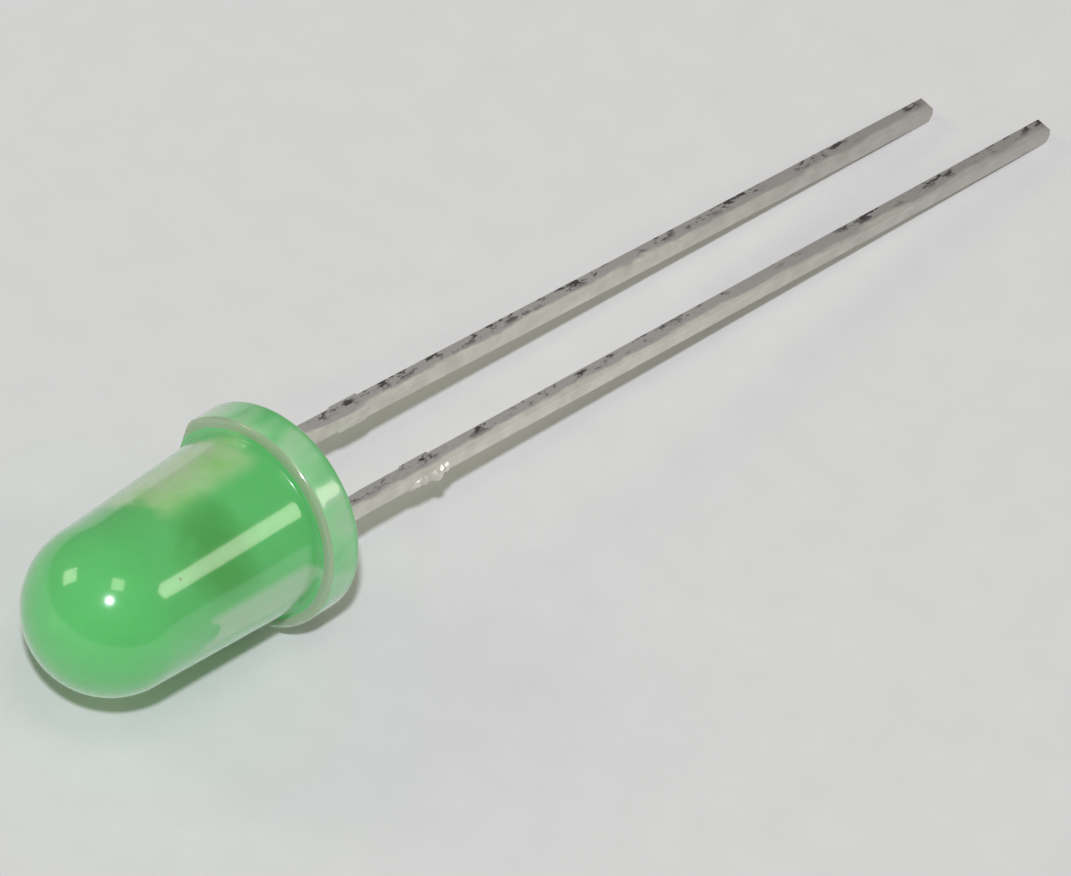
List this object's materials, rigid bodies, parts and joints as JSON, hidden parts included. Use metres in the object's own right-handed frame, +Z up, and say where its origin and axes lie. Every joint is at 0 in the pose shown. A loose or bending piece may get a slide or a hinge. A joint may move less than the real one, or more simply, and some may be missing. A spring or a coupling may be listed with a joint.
{
  "type": "through hole led",
  "caption": "Round through-hole indicator LED: green diffused epoxy dome with a flange and a cathode flat, on two straight square leads, with its lead frame, die and bond wire inside.",
  "frame": {"origin": "centre of the flange's back face, between the two leads, where the part seats on a board", "axes": "+Z up from the surface the part lies on, +X along the leads away from the dome, +Y towards the cathode"},
  "size_m": [0.0364, 0.0054, 0.0059],
  "materials": {
    "epoxy": "milky green diffused cast epoxy, glossy, slightly translucent",
    "tinned_lead": "dull solder-dipped steel with dark tarnish specks",
    "silver_epoxy": "matt silver-filled epoxy",
    "die": "sawn semiconductor, dull olive grey",
    "gold_wire": "bright gold"
  },
  "bodies": {
    "root": {"lens_body": "epoxy", "cathode_lead": "tinned_lead", "anode_lead": "tinned_lead", "die_attach": "silver_epoxy", "led_die": "die", "bond_wire": "gold_wire"}
  },
  "joints": []
}
